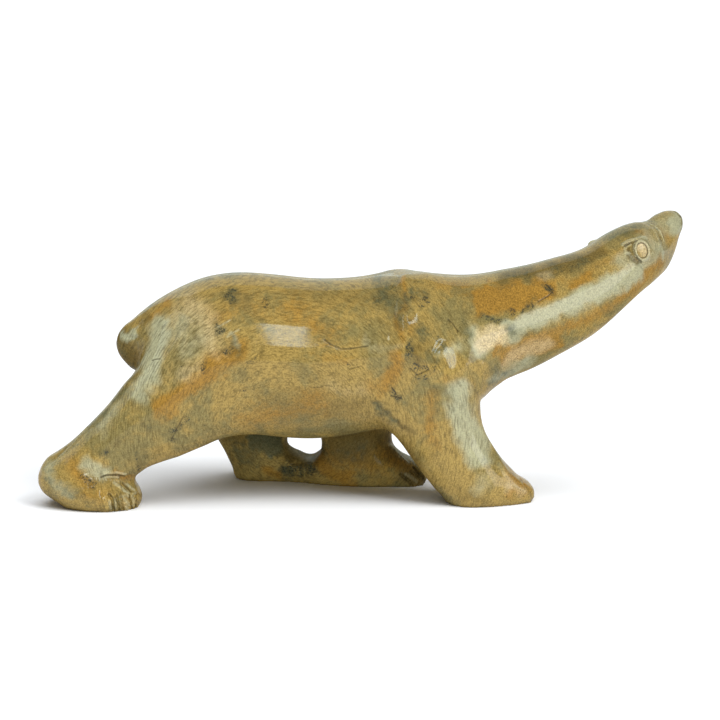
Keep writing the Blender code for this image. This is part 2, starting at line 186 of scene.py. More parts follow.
# The chasing on the legs and feet: deep slits between the toes with a raised edge beside each, which
# the finish paints pale as a highlight, tendons that run to them, a double wrinkle over the right hind
# ankle, and a rough chiselled rim to the hole between the two left legs.
LEG_LINES = [
    (RIGHT, [(-195.0, 13.8), (-192.2, 9.8), (-191.9, 0.0)], 1.5, -1.9),
    (RIGHT, [(-189.3, 12.6), (-188.4, 7.2), (-187.9, 0.0)], 1.3, -1.8),
    (RIGHT, [(-186.3, 11.5), (-185.6, 6.8), (-185.3, 0.0)], 1.2, -1.6),
    (RIGHT, [(-180.6, 11.6), (-179.5, 7.2), (-179.4, 0.0)], 1.3, -2.0),
    (RIGHT, [(-175.6, 11.6), (-176.1, 7.0), (-176.8, 0.0)], 1.3, -1.8),
    (RIGHT, [(-186.0, 10.6), (-184.5, 12.0), (-182.4, 12.1), (-180.6, 10.4)], 1.0, 1.0),
    (RIGHT, [(-179.3, 10.2), (-178.2, 12.0), (-176.4, 12.1)], 1.0, 1.0),
    (RIGHT, [(-183.8, 9.3), (-182.3, 7.0), (-181.0, 4.3)], 1.2, 1.0),
    (RIGHT, [(-190.6, 9.6), (-190.2, 4.0)], 1.2, 1.1),
    (RIGHT, [(-177.9, 9.2), (-178.1, 3.6)], 1.1, 1.1),
    (RIGHT, [(-194.6, 8.6), (-193.6, 3.0)], 1.1, 0.8),
    (RIGHT, [(-183.0, 3.0), (-182.6, 0.5)], 1.2, 0.8),
    (RIGHT, [(-244.0, 31.0), (-236.0, 36.5), (-224.0, 48.5), (-213.0, 61.0)], 1.5, 0.5),
    (RIGHT, [(-191.9, 21.5), (-187.7, 18.2), (-184.7, 15.5), (-181.4, 12.9)], 1.6, 1.0),
    (RIGHT, [(-183.1, 18.8), (-180.9, 16.5), (-178.0, 14.1)], 1.4, 0.9),
    (RIGHT, [(-185.8, 20.0), (-182.6, 16.4), (-179.6, 13.6)], 1.3, -0.7),
    (RIGHT, [(-199.8, 28.1), (-196.9, 28.9), (-193.2, 28.9), (-189.6, 28.9), (-183.7, 26.9)], 1.3, 0.8),
    (RIGHT, [(-199.1, 25.8), (-196.2, 26.2), (-192.6, 25.9), (-189.2, 25.2)], 1.2, 0.7),
    (RIGHT, [(-201.3, 26.0), (-197.6, 27.5), (-194.0, 27.3), (-189.7, 27.0), (-184.6, 25.2)], 1.0, -0.5),
    (RIGHT, [(24.6, 10.2), (27.8, 7.5), (31.0, 4.9), (33.9, 0.0)], 1.5, -2.0),
    (RIGHT, [(32.6, 12.5), (36.6, 9.9), (40.6, 6.0), (43.0, 3.0)], 1.5, -2.0),
    (RIGHT, [(28.6, 10.6), (33.0, 8.0), (37.0, 4.4)], 1.5, 0.6),
    (RIGHT, [(34.8, 15.0), (42.3, 7.0), (44.8, 0.0)], 1.8, -1.0),
    (RIGHT, [(113.8, 19.0), (122.3, 9.0), (124.3, 0.0)], 2.2, -0.5),
    (LEFT, [(33.8, 14.5), (41.8, 7.0), (43.8, 0.0)], 2.0, -1.3),
    (LEFT, [(28.0, 14.5), (33.0, 7.0), (34.0, 0.0)], 2.0, -1.3),
    (LEFT, [(20.0, 13.5), (23.0, 7.0), (23.5, 0.0)], 2.0, -1.2),
    (LEFT, [(110.8, 17.0), (118.8, 8.5), (120.8, 0.0)], 2.2, -0.8),
    (RIGHT, [(-68.5, 37.0), (-65.5, 30.5), (-60.0, 25.5), (-54.0, 22.5), (-48.0, 21.5)], 1.3, -1.0),
    (RIGHT, [(-48.0, 21.5), (-42.0, 23.5), (-38.0, 28.0)], 1.2, -0.8),
    (RIGHT, [(15.0, 33.5), (22.5, 24.7), (30.3, 18.2)], 2.2, 0.5),
    (RIGHT, [(-246.5, 28.5), (-236.0, 34.5), (-224.0, 46.5), (-211.5, 60.0)], 5.0, 0.5),
    (RIGHT, [(98.0, 31.0), (104.0, 24.0), (111.0, 15.0), (117.0, 11.0)], 3.5, 0.5),
]
ROUGH_PLACES = [
    (RIGHT, [(-63.0, 14.0), (-55.0, 9.0), (-49.0, 11.0)], 9.0, 1.1),
    (RIGHT, [(-208.0, 24.0), (-214.0, 20.0)], 6.0, 0.35),
    (RIGHT, [(-194.0, 6.0), (-177.0, 6.5)], 7.0, 0.8),
]
ROUGH_GRAIN = 2.0
FINE_MARGIN = 1.0
WIDE_LINE = 2.5
WIDE_SPLITS, FINE_SPLITS = 1, 2

# The folds and flaws of the body: the shoulder blade's fold, the crease round the tail, the folds
# under the fore leg, and the hairline cracks and scratches in the cast skin. All of them are worked
# with the head's and the legs' lines, once the cells along them are split.
BODY_LINES = [
    (RIGHT, [(26.5, 173.0), (24.4, 167.3), (22.7, 157.3), (21.9, 143.4), (21.5, 128.0)], 6.0, 0.6),
    (RIGHT, [(19.5, 170.0), (17.0, 157.0), (16.0, 143.0), (16.0, 130.0)], 5.0, -0.4),
    (RIGHT, [(-172.7, 137.0), (-175.8, 129.4), (-178.4, 121.5), (-178.4, 111.1), (-179.6, 102.5)], 2.6, -0.8),
    (RIGHT, [(-190.0, 124.3), (-184.0, 125.2), (-178.6, 124.8)], 2.4, -0.6),
    (RIGHT, [(6.5, 77.0), (11.0, 72.4), (16.2, 68.0), (22.3, 61.8)], 3.0, -0.7),
    (RIGHT, [(92.6, 110.3), (96.0, 104.2), (101.5, 97.5)], 2.0, -0.5),
    (RIGHT, [(97.5, 111.0), (100.5, 105.0)], 1.8, -0.4),
    (RIGHT, [(84.2, 109.0), (83.4, 99.0), (82.3, 89.1)], 3.0, 0.4),
    (RIGHT, [(53.0, 126.5), (49.3, 121.5), (46.9, 115.7), (47.0, 110.6)], 3.5, -0.35),
]
CRACKS = [
    (RIGHT, [(-33.7, 128.6), (-30.0, 125.8), (-26.3, 123.9), (-21.8, 122.1)], 0.7, -0.3),
    (RIGHT, [(-21.8, 122.1), (-15.2, 122.2), (-7.8, 123.5), (-1.8, 124.3)], 0.6, -0.25),
    (RIGHT, [(57.6, 143.2), (60.6, 140.6), (62.8, 137.7), (65.1, 134.7)], 0.7, -0.3),
    (RIGHT, [(-163.1, 112.1), (-159.9, 113.3), (-156.7, 113.8)], 0.6, -0.25),
    (RIGHT, [(16.0, 92.8), (19.0, 89.0), (18.0, 87.4)], 0.7, -0.3),
    (RIGHT, [(15.3, 86.5), (19.8, 85.9), (23.5, 84.4)], 0.7, -0.3),
    (RIGHT, [(-42.0, 92.9), (-36.0, 93.5)], 0.6, -0.2),
    (RIGHT, [(-33.0, 94.8), (-28.6, 93.9)], 0.6, -0.2),
    (RIGHT, [(-16.0, 107.0), (-8.0, 109.0)], 0.6, -0.2),
    (RIGHT, [(133.0, 166.0), (138.0, 161.0), (135.0, 158.0), (127.0, 154.0)], 0.7, -0.3),
    (RIGHT, [(-139.0, 72.0), (-144.0, 63.0), (-149.0, 53.0)], 0.7, -0.25),
    (RIGHT, [(29.0, 108.0), (35.0, 103.0), (43.0, 107.0)], 0.8, -0.3),
    (LEFT, [(-60.0, 118.0), (-48.0, 121.0), (-39.0, 119.0)], 0.7, -0.25),
    (LEFT, [(70.0, 130.0), (78.0, 123.0)], 0.7, -0.25),
]
SCRATCHES = [
    (RIGHT, [(-112.9, 138.3), (-108.5, 140.8), (-104.1, 143.3)], 0.8, 0.2),
    (RIGHT, [(-106.1, 131.2), (-102.5, 134.1), (-98.0, 136.2)], 0.8, 0.2),
]

# The drawn lines are laid on the skin by sight lines from far off, in steps of a millimetre.
FAR_OFF = 500
LAID_STEP = 1.0
skin_tree = BVHTree.FromPolygons(
    [tuple(point) for point in points_of(skin)], [tuple(face.vertices) for face in skin.polygons]
)


def laid(side, path):
    """A line drawn as seen from one side, laid on the skin in short steps."""
    line = []
    for (x, z), (next_x, next_z) in zip(path, path[1:] or path):
        steps = max(1, round(float(np.hypot(next_x - x, next_z - z)) / LAID_STEP))
        for share in np.arange(steps + 1) / steps:
            start = Vector((x + share * (next_x - x), FAR_OFF * side, z + share * (next_z - z)))
            hit = skin_tree.ray_cast(start, Vector((0, -side, 0)))[0]
            if hit is not None:
                line.append(tuple(hit))
    return np.array(line)


def distance_to(line, points):
    """How far each point lies from a line of short straight steps."""
    nearest = np.linalg.norm(points - line[0], axis=1)
    for start, end in zip(line, line[1:]):
        stretch = end - start
        length = stretch @ stretch
        along = np.clip((points - start) @ stretch / length, 0, 1) if length else np.zeros(len(points))
        nearest = np.minimum(nearest, np.linalg.norm(points - start - along[:, None] * stretch, axis=1))
    return nearest


def beside(line, points, reach):
    """The points within reach of a line, and how far they are from it."""
    near = ((points > line.min(0) - reach) & (points < line.max(0) + reach)).all(axis=1).nonzero()[0]
    away = distance_to(line, points[near])
    return near[away < reach], away[away < reach]


def work_finely(mesh, places):
    """Splits the cells within reach of each line, as many times as its fineness says."""
    clay = bmesh.new()
    clay.from_mesh(mesh)
    for fineness in (WIDE_SPLITS, FINE_SPLITS):
        clay.faces.ensure_lookup_table()
        middles = np.array([face.calc_center_median() for face in clay.faces]) / MM
        chosen = set()
        for line, reach, splits in places:
            if splits >= fineness:
                chosen.update(beside(line, middles, reach)[0])
        edges = {edge for number in chosen for edge in clay.faces[number].edges}
        bmesh.ops.subdivide_edges(clay, edges=list(edges), cuts=1, use_grid_fill=True)
        bmesh.ops.triangulate(clay, faces=[face for face in clay.faces if len(face.verts) > 4])
    clay.to_mesh(mesh)
    clay.free()


def carve(mesh, lines):
    """Raises a rounded ridge along each line, or sinks a groove where its rise is negative."""
    points, out = points_of(mesh), normals_of(mesh)
    for line, half_width, rise in lines:
        near, away = beside(line, points, half_width)
        share = 1 - (away / half_width) ** 2
        points[near] += (rise * share**2)[:, None] * out[near]
    move_points(mesh, points)


def roughen(mesh, places):
    """Leaves the bumps of a blunt chisel on the skin."""
    points, out = points_of(mesh), normals_of(mesh)
    for line, half_width, rise in places:
        near, away = beside(line, points, half_width)
        bumps = np.array([noise.noise(Vector(point) / ROUGH_GRAIN) for point in points[near]])
        points[near] += (rise * bumps * np.clip(2 * (1 - away / half_width), 0, 1))[:, None] * out[near]
    move_points(mesh, points)


def ear_ring(points, centre, outward, upward):
    """How far out from the ear's middle each point lies, as a share of the ear, and the ear's way out."""
    outward = np.array(outward) / np.linalg.norm(outward)
    upward = np.array(upward) - np.dot(upward, outward) * outward
    upward /= np.linalg.norm(upward)
    offset = points - centre
    ring = np.hypot(offset @ np.cross(upward, outward) / EAR_HALF_WIDTH, offset @ upward / EAR_HALF_HEIGHT)
    return np.where(np.abs(offset @ outward) < EAR_HALF_HEIGHT, ring, OFF_THE_EAR), outward


def shape_ear(mesh, ear):
    """A round ear: a raised rim round a sunk hollow."""
    points = points_of(mesh)
    ring, outward = ear_ring(points, *ear)
    rim = np.exp(-(((ring - RIM_PLACE) / RIM_WIDTH) ** 2))
    hollow = (1 - np.tanh((ring - HOLLOW_PLACE) / (2 * HOLLOW_WIDTH))) / 2
    move_points(mesh, points + (RIM_RISE * rim - HOLLOW_DEPTH * hollow)[:, None] * outward)


def all_laid(rows):
    """Each drawn line laid on the skin, with its half width and its rise."""
    return [(laid(side, path), half_width, rise) for side, path, half_width, rise in rows]


chased = all_laid(HEAD_LINES + LEG_LINES)
folds = all_laid(BODY_LINES)
flaws = all_laid(CRACKS + SCRATCHES)
rough = all_laid(ROUGH_PLACES)
fine_places = [(np.array([centre]), EAR_REACH, FINE_SPLITS) for centre, _, _ in EARS]
fine_places += [(row, half_width + FINE_MARGIN, FINE_SPLITS) for row, half_width, _ in rough]
for row, half_width, _ in chased + folds + flaws:
    splits = FINE_SPLITS if half_width < WIDE_LINE else WIDE_SPLITS
    fine_places.append((row, half_width + FINE_MARGIN, splits))
work_finely(skin, fine_places)
melt(skin, TOUCH_UP_ROUNDS)
for ear in EARS:
    shape_ear(skin, ear)
carve(skin, folds)
roughen(skin, rough)
carve(skin, chased)
carve(skin, flaws)
for polygon in skin.polygons:
    polygon.use_smooth = True

# The patina: brushed on in patches with a torch, so its ochre ground carries rust, slate green, pale
# chalky green, pinkish buff and umber, some with a hard edge and some feathered. It lies as a thin
# skin on the bronze, under the wax. Some of the umber and slate strokes are painted shade, where the
# bear's body shades itself, and some of the chalk and buff strokes are painted sheen.
ALL_ROUND = 0

# Each stroke of the brush has its side, its path seen from there as x and z in millimetres, its half
# width, how far its edge is feathered, and its strength. Those that go all round lie on both sides.
RUST = [
    (RIGHT, [(-30, 18), (6, 24), (26, 14)], 13, 9, 0.55),
    (RIGHT, [(-98, 122), (-110, 116), (-126, 101), (-141, 88), (-156, 78)], 7, 5, 0.9),
    (RIGHT, [(-150, 82), (-134, 94), (-118, 106)], 6, 5, 1.0),
    (RIGHT, [(-115, 145), (-93, 155), (-81, 149)], 9, 8, 0.45),
    (RIGHT, [(-165, 141), (-153, 151)], 4, 3, 0.6),
    (RIGHT, [(19, 116), (16, 105), (11, 95)], 5, 4, 0.9),
    (RIGHT, [(1, 96), (6, 87)], 6, 5, 0.45),
    (RIGHT, [(-60, 150), (-44, 140), (-30, 134)], 10, 9, 0.5),
    (RIGHT, [(-39, 116), (-17, 115)], 4, 4, 0.45),
    (RIGHT, [(-95, 70), (-66, 70), (-41, 80)], 9, 8, 0.55),
    (RIGHT, [(26, 172), (24, 167), (23, 157), (22, 143), (22, 129)], 2.5, 2.5, 0.8),
    (RIGHT, [(28, 145), (29, 136)], 4, 4, 0.6),
    (RIGHT, [(55, 99), (74, 94)], 6, 5, 0.4),
    (RIGHT, [(84, 156), (97, 157), (120, 158), (131, 163)], 9, 3, 1.0),
    (RIGHT, [(86, 164), (82, 149)], 4, 3, 1.0),
    (RIGHT, [(52, 168), (75, 164)], 6, 5, 0.5),
    (RIGHT, [(103, 116), (121, 119), (140, 124)], 9, 3, 0.8),
    (RIGHT, [(98, 129), (95, 123), (93, 116)], 2.5, 2, 1.0),
    (RIGHT, [(132, 166), (156, 170), (176, 178), (194, 184)], 4, 4, 0.5),
    (RIGHT, [(164, 170), (156, 165)], 5, 4, 0.9),
    (RIGHT, [(210, 201), (219, 199), (220, 194)], 3, 2, 0.7),
    (RIGHT, [(144, 131), (176, 143), (206, 161)], 5, 4, 0.7),
    (RIGHT, [(209, 164), (220, 172), (227, 177)], 4, 3, 0.9),
    (RIGHT, [(232, 202), (237, 197)], 3, 3, 0.6),
    (RIGHT, [(44, 88), (43, 68), (49, 48)], 6, 5, 0.6),
    (RIGHT, [(104, 30), (109, 22), (117, 13)], 4, 3, 1.0),
    (RIGHT, [(107, 10), (117, 10)], 4, 4, 0.9),
    (RIGHT, [(-223, 37), (-213, 23)], 8, 7, 0.6),
    (RIGHT, [(-189, 26), (-181, 23)], 4, 3, 0.8),
    (RIGHT, [(-213, 15), (-201, 13)], 6, 5, 0.6),
    (RIGHT, [(-85, 10), (-72, 5)], 4, 3, 0.9),
    (RIGHT, [(-40, 15), (-30, 10), (-17, 6)], 7, 4, 0.9),
    (RIGHT, [(-52, 87), (-30, 85)], 7, 6, 0.3),
    (LEFT, [(-150, 100), (-120, 118), (-96, 134)], 10, 7, 0.8),
    (LEFT, [(-30, 90), (10, 96)], 12, 10, 0.5),
    (LEFT, [(84, 150), (120, 154), (150, 166)], 10, 5, 0.9),
    (LEFT, [(100, 118), (130, 122)], 9, 5, 0.6),
    (LEFT, [(25, 40), (35, 20)], 8, 6, 0.7),
    (LEFT, [(-90, 30), (-70, 14)], 9, 6, 0.6),
]
# Slate green, and painted shade: the strokes under the belly, on the left legs below it, in the crease under
# the right fore leg, beside the shoulder blade's fold, round the tail and along the top of the neck darken
# those places as shade.
SLATE_AND_SHADE = [
    (RIGHT, [(188, 198), (204, 205), (222, 207)], 6, 5, 0.5),
    (RIGHT, [(-178, 104), (-206, 68), (-238, 36)], 8, 7, 0.5),
    (RIGHT, [(-236, 22), (-222, 14), (-206, 8)], 7, 5, 0.4),
    (RIGHT, [(8, 168), (20, 150)], 10, 8, 0.75),
    (RIGHT, [(-105, 159), (-100, 156)], 3, 4, 0.85),
    (RIGHT, [(-93, 158), (-90, 151)], 3, 4, 0.51),
    (RIGHT, [(-114, 139), (-109, 135)], 3, 4, 0.6),
    (RIGHT, [(-106, 123), (-101, 125), (-99, 120)], 3, 4, 0.65),
    (RIGHT, [(-112, 153), (-115, 149)], 4, 5, 0.38),
    (RIGHT, [(13, 167), (16, 157), (17, 149)], 5, 5, 0.77),
    (RIGHT, [(6, 136), (17, 133)], 6, 7, 0.47),
    (RIGHT, [(31, 163), (43, 165)], 4, 5, 0.72),
    (RIGHT, [(28, 129), (30, 120), (29, 111)], 2, 4, 0.5),
    (RIGHT, [(34, 138), (41, 132)], 6, 6, 0.51),
    (RIGHT, [(6, 79), (12, 72), (18, 66)], 3, 4, 0.85),
    (RIGHT, [(17, 91), (24, 85)], 3, 5, 0.51),
    (RIGHT, [(40, 98), (53, 92)], 3, 4, 0.59),
    (RIGHT, [(52, 127), (47, 119), (47, 111)], 2, 4, 0.77),
    (RIGHT, [(70, 145), (73, 135)], 3, 4, 0.68),
    (RIGHT, [(85, 146), (97, 142)], 2, 4, 0.64),
    (RIGHT, [(105, 135), (110, 131)], 3, 4, 0.85),
    (RIGHT, [(132, 165), (137, 160)], 2, 4, 0.6),
    (RIGHT, [(116, 148), (121, 152)], 2, 4, 0.77),
    (RIGHT, [(93, 107), (101, 97), (88, 93)], 5, 6, 0.64),
    (RIGHT, [(104, 169), (122, 171), (146, 176), (166, 182)], 7, 6, 0.4),
    (RIGHT, [(173, 176), (178, 178)], 3, 5, 0.51),
    (RIGHT, [(194, 201), (199, 204)], 3, 5, 0.42),
    (RIGHT, [(-148, 62), (-158, 65)], 6, 7, 0.42),
    (RIGHT, [(-196, 47)], 3, 5, 0.77),
    (RIGHT, [(-165, 66)], 3, 4, 0.77),
    (RIGHT, [(-242, 24), (-239, 12)], 5, 6, 0.68),
    (RIGHT, [(-175, 37), (-168, 41)], 4, 6, 0.59),
    (RIGHT, [(-30, 63), (-17, 55)], 5, 6, 0.42),
    (RIGHT, [(-55, 57), (-46, 55)], 5, 6, 0.38),
    (RIGHT, [(-191, 120), (-187, 110)], 5, 6, 0.3),
    (RIGHT, [(-104, 22), (-98, 22)], 12, 8, 0.75),
    (RIGHT, [(-88, 34), (-81, 31)], 10, 4, 1.5),
    (RIGHT, [(-99, 11), (-94, 4)], 5, 6, 0.42),
    (RIGHT, [(-64, 10), (-49, 10)], 8, 6, 0.68),
    (RIGHT, [(-19, 29), (-3, 30)], 7, 7, 0.59),
    (RIGHT, [(25, 8), (33, 2)], 4, 5, 0.51),
    (RIGHT, [(-23, 90)], 2, 4, 0.68),
    (RIGHT, [(-196, 20), (-202, 18)], 3, 5, 0.42),
    (LEFT, [(-110, 150), (-96, 158)], 6, 6, 0.68),
    (LEFT, [(10, 160), (18, 146)], 7, 7, 0.68),
    (LEFT, [(-60, 62), (-20, 58)], 9, 9, 0.51),
    (LEFT, [(-6, 60), (4, 44)], 6, 7, 0.59),
    (LEFT, [(96, 104), (110, 100)], 6, 7, 0.51),
    (LEFT, [(-200, 70), (-180, 88)], 8, 8, 0.42),
]
# Pale chalky green, and painted sheen: the strokes down the right haunch, along the neck, down the front of
# the right fore leg and on the right hind foot also paint the wax's pale sheen there.
CHALK_AND_SHEEN = [
    (RIGHT, [(107, 127), (114, 132)], 5, 4, 0.7),
    (RIGHT, [(-243, 34), (-238, 22), (-226, 14)], 6, 5, 0.6),
    (RIGHT, [(217, 197), (224, 188), (214, 178)], 8, 5, 0.6),
    (RIGHT, [(230, 202), (243, 208)], 8, 5, 0.5),
    (RIGHT, [(-156, 136), (-163, 118), (-166, 101), (-171, 87)], 8, 5, 0.85),
    (RIGHT, [(-142, 141), (-134, 121), (-123, 132)], 10, 8, 0.45),
    (RIGHT, [(1, 124), (15, 121)], 6, 5, 0.35),
    (RIGHT, [(-3, 130), (-3, 126)], 3, 3, 0.45),
    (RIGHT, [(77, 137), (77, 124), (83, 120)], 5, 3, 0.75),
    (RIGHT, [(102, 139), (109, 137)], 5, 3, 1.0),
    (RIGHT, [(114, 136), (144, 148), (176, 160), (207, 172)], 8, 4, 0.85),
    (RIGHT, [(92, 97), (106, 99), (120, 108)], 5, 4, 0.7),
    (RIGHT, [(222, 189), (230, 182)], 4, 3, 0.7),
    (RIGHT, [(230, 192), (234, 184)], 4, 3, 0.4),
    (RIGHT, [(245, 208), (244, 201)], 6, 4, 0.9),
    (RIGHT, [(64, 90), (70, 68), (82, 41)], 10, 6, 0.95),
    (RIGHT, [(81, 16), (89, 22)], 7, 6, 0.5),
    (RIGHT, [(-192, 79), (-203, 62)], 7, 6, 0.5),
    (RIGHT, [(-212, 36), (-200, 28)], 6, 4, 0.7),
    (RIGHT, [(-189, 126), (-179, 128)], 3, 2, 0.9),
    (RIGHT, [(-102, 131), (-98, 126)], 2, 2, 0.6),
    (RIGHT, [(55, 120), (66, 123)], 6, 4, 0.5),
    (RIGHT, [(20, 30), (32, 18)], 2, 2, 0.6),
    (RIGHT, [(192, 180), (203, 177)], 6, 4, 0.6),
    (LEFT, [(-150, 132), (-160, 110)], 11, 8, 0.7),
    (LEFT, [(110, 132), (150, 150), (190, 166)], 9, 5, 0.7),
    (LEFT, [(40, 80), (30, 60)], 8, 6, 0.5),
]
# Pinkish buff, and painted sheen: the wide wash down the right haunch and the spot on the right fore foot's
# toe also paint a pale sheen there.
BUFF_AND_SHEEN = [
    (RIGHT, [(-138, 154), (-122, 142), (-116, 126)], 12, 9, 0.5),
    (RIGHT, [(-140, 138), (-148, 112), (-165, 92)], 20, 14, 0.2),
    (RIGHT, [(105, 14), (116, 9)], 5, 3, 0.45),
    (RIGHT, [(84, 128), (98, 131)], 8, 4, 1.0),
    (RIGHT, [(210, 189)], 4.5, 2, 1.0),
    (RIGHT, [(104, 108), (108, 115), (121, 117), (135, 122)], 7, 4, 0.5),
    (RIGHT, [(-130, 110), (-141, 101)], 6, 5, 0.5),
    (RIGHT, [(-188, 9), (-182, 8), (-175, 8)], 4, 3, 0.3),
    (RIGHT, [(129, 172), (138, 173)], 4, 3, 0.5),
    (RIGHT, [(-30, 95), (-4, 89)], 9, 8, 0.3),
    (LEFT, [(80, 128), (92, 136)], 9, 4, 0.7),
]
# Dark umber, and painted shade: the strokes under the belly, on the left legs below it, in the hole between
# them, low on the right flank, round the tail, along the top of the neck and at the end of the crease under
# the right fore leg darken those places as shade.
UMBER_AND_SHADE = [
    (RIGHT, [(34, 124), (36, 112)], 6, 5, 0.6),
    (RIGHT, [(72, 10), (84, 6)], 7, 6, 0.5),
    (ALL_ROUND, [(-66, 26), (-53, 17), (-38, 24)], 6, 3, 1.0),
    (RIGHT, [(-24, 34), (24, 32)], 14, 8, 0.9),
    (RIGHT, [(-116, 40), (-100, 40)], 12, 6, 0.65),
    (RIGHT, [(-90, 40), (-78, 36)], 9, 6, 1.0),
    (RIGHT, [(-75, 84), (-40, 78), (-10, 80)], 12, 10, 0.5),
    (RIGHT, [(-60, 160), (-20, 158), (16, 158)], 7, 6, 0.4),
    (RIGHT, [(200, 184), (204, 180), (210, 177)], 3, 2, 0.8),
    (RIGHT, [(-31, 40), (-14, 43), (2, 43)], 4, 3, 0.9),
    (RIGHT, [(-190, 122), (-183, 108)], 9, 5, 0.95),
    (RIGHT, [(-174, 134), (-170, 138)], 4, 3, 0.7),
    (RIGHT, [(-177, 119), (-178, 107)], 3, 2, 0.6),
    (RIGHT, [(100, 170), (115, 173), (146, 179), (178, 188)], 6, 4, 0.8),
    (RIGHT, [(195, 201), (211, 204)], 6, 5, 0.35),
    (RIGHT, [(60, 166), (75, 156)], 4, 4, 0.45),
    (RIGHT, [(-202, 24), (-209, 22)], 6, 5, 0.5),
    (RIGHT, [(12, 22), (4, 14)], 9, 8, 0.4),
    (RIGHT, [(22, 64), (31, 59)], 3, 2, 0.7),
    (RIGHT, [(-52, 107), (-39, 101)], 8, 7, 0.35),
    (RIGHT, [(-26, 102), (-19, 96)], 4, 4, 0.35),
    (LEFT, [(-190, 118), (-184, 106)], 6, 4, 0.6),
    (LEFT, [(-40, 46), (0, 46)], 6, 5, 0.7),
]
# Sooty specks that the torch left.
SPECKS = [
    (RIGHT, [(-61, 12), (-50, 9)], 7, 4, 0.7),
    (RIGHT, [(30, 158), (32, 159)], 2, 2, 1.0),
    (RIGHT, [(35, 156), (39, 156), (42, 157)], 2, 2, 1.0),
    (RIGHT, [(29, 109), (32, 107), (37, 102), (41, 105), (44, 107)], 2, 2, 1.0),
    (RIGHT, [(35, 100), (40, 100)], 2, 2, 0.8),
    (RIGHT, [(132, 165), (135, 163), (137, 159)], 2, 2, 1.0),
    (RIGHT, [(117, 148), (119, 149)], 2, 2, 0.9),
    (RIGHT, [(85, 146), (91, 144), (97, 142), (101, 143)], 2, 2, 0.8),
    (RIGHT, [(28, 129), (30, 120), (29, 111)], 2, 2, 0.8),
    (RIGHT, [(-105, 159), (-101, 156)], 2, 2, 0.9),
    (RIGHT, [(-114, 139), (-110, 135)], 2, 2, 0.9),
    (RIGHT, [(-106, 122), (-102, 124)], 2, 2, 0.9),
    (RIGHT, [(-138, 110)], 1.5, 1, 1.0),
    (RIGHT, [(-124, 110), (-126, 104)], 2, 2, 0.7),
    (RIGHT, [(-148, 62), (-138, 69)], 2, 2, 0.8),
    (RIGHT, [(-144, 55), (-148, 54)], 2, 2, 0.7),
    (RIGHT, [(-196, 48), (-199, 46)], 2, 2, 0.9),
    (RIGHT, [(-165, 66), (-167, 64)], 2, 2, 0.9),
    (RIGHT, [(-76, 155), (-75, 153)], 2, 2, 0.8),
    (RIGHT, [(-16, 111)], 1.5, 1, 1.0),
    (RIGHT, [(16, 92), (21, 88)], 2, 2, 0.8),
    (RIGHT, [(-93, 105), (-88, 114)], 2, 2, 0.7),
    (RIGHT, [(-97, 92), (-94, 93)], 2, 2, 0.8),
    (RIGHT, [(-213, 26), (-208, 22)], 3, 2, 0.7),
    (RIGHT, [(-175, 40), (-173, 31)], 2, 2, 0.7),
    (RIGHT, [(107, 150), (108, 148)], 2, 2, 0.8),
    (RIGHT, [(47, 132), (49, 129)], 2, 2, 0.7),
    (LEFT, [(20, 150), (30, 154)], 3, 2, 0.9),
    (LEFT, [(-120, 130), (-112, 126)], 3, 2, 0.8),
]
# Where the wax is thin and hardly mirrors: the left legs as seen from the right, the throat and the tail.
DULL = [
    (ALL_ROUND, [(-62, 30), (-40, 30)], 16, 4, 1.0),
    (RIGHT, [(-110, 16), (30, 16)], 22, 5, 1.0),
    (RIGHT, [(-104, 40), (30, 40)], 14, 5, 1.0),
    (RIGHT, [(98, 86), (112, 96), (150, 123), (190, 142), (228, 172)], 8, 6, 0.9),
    (RIGHT, [(-190, 124), (-185, 106)], 8, 5, 0.8),
]
# Where the chasing left fine even ribs: down the haunches.
RIBS = [
    (RIGHT, [(-146, 122), (-172, 94), (-196, 70)], 10, 9, 1.0),
    (RIGHT, [(-158, 84), (-176, 66)], 8, 6, 0.6),
    (LEFT, [(-100, 110), (-140, 100)], 18, 12, 0.8),
]
FACING_PULL = 1.2
WANDERS = ((14.0, 5.0), (5.0, 2.2))
WANDER_SEED = 8
noise.seed_set(WANDER_SEED)


def wandered(points):
    """The points moved a little this way and that, so that no stroke keeps an even edge."""
    moved = points.copy()
    for size, sway in WANDERS:
        moved += sway * np.array([noise.noise_vector(Vector(point) / size) for point in points])
    return moved[:, [0, 2]]


def brushed(strokes, map_points, sideways):
    """How thickly a brushed layer lies at each point, be it patina, painted shade or painted sheen: full
    inside a stroke, none past its feathered edge.
    """
    total = np.zeros(len(map_points))
    for side, path, half_width, feather, strength in strokes:
        near, away = beside(np.array(path, float), map_points, half_width + feather)
        facing = np.clip(0.5 + FACING_PULL * side * sideways[near], 0, 1) if side != ALL_ROUND else 1
        share = np.clip(0.5 + (half_width - away) / (2 * feather), 0, 1)
        total[near] = np.maximum(total[near], strength * facing * share)
    return total


def lay_on(mesh, name, amounts):
    """Keeps a value for each point of the mesh, for the finish to read."""
    layer = mesh.attributes.new(name, "FLOAT", "POINT")
    layer.data.foreach_set("value", amounts.astype(np.float32))


PATINAS_AND_PAINTED_LIGHT = {
    "rust": RUST,
    "slate_and_shade": SLATE_AND_SHADE,
    "chalk_and_sheen": CHALK_AND_SHEEN,
    "buff_and_sheen": BUFF_AND_SHEEN,
    "umber_and_shade": UMBER_AND_SHADE,
    "specks": SPECKS,
    "ribs": RIBS,
    "dull": DULL,
}
brush_map, skin_sideways = wandered(points_of(skin)), normals_of(skin)[:, 1]
for brushed_layer, brushed_layer_strokes in PATINAS_AND_PAINTED_LIGHT.items():
    lay_on(skin, brushed_layer, brushed(brushed_layer_strokes, brush_map, skin_sideways))

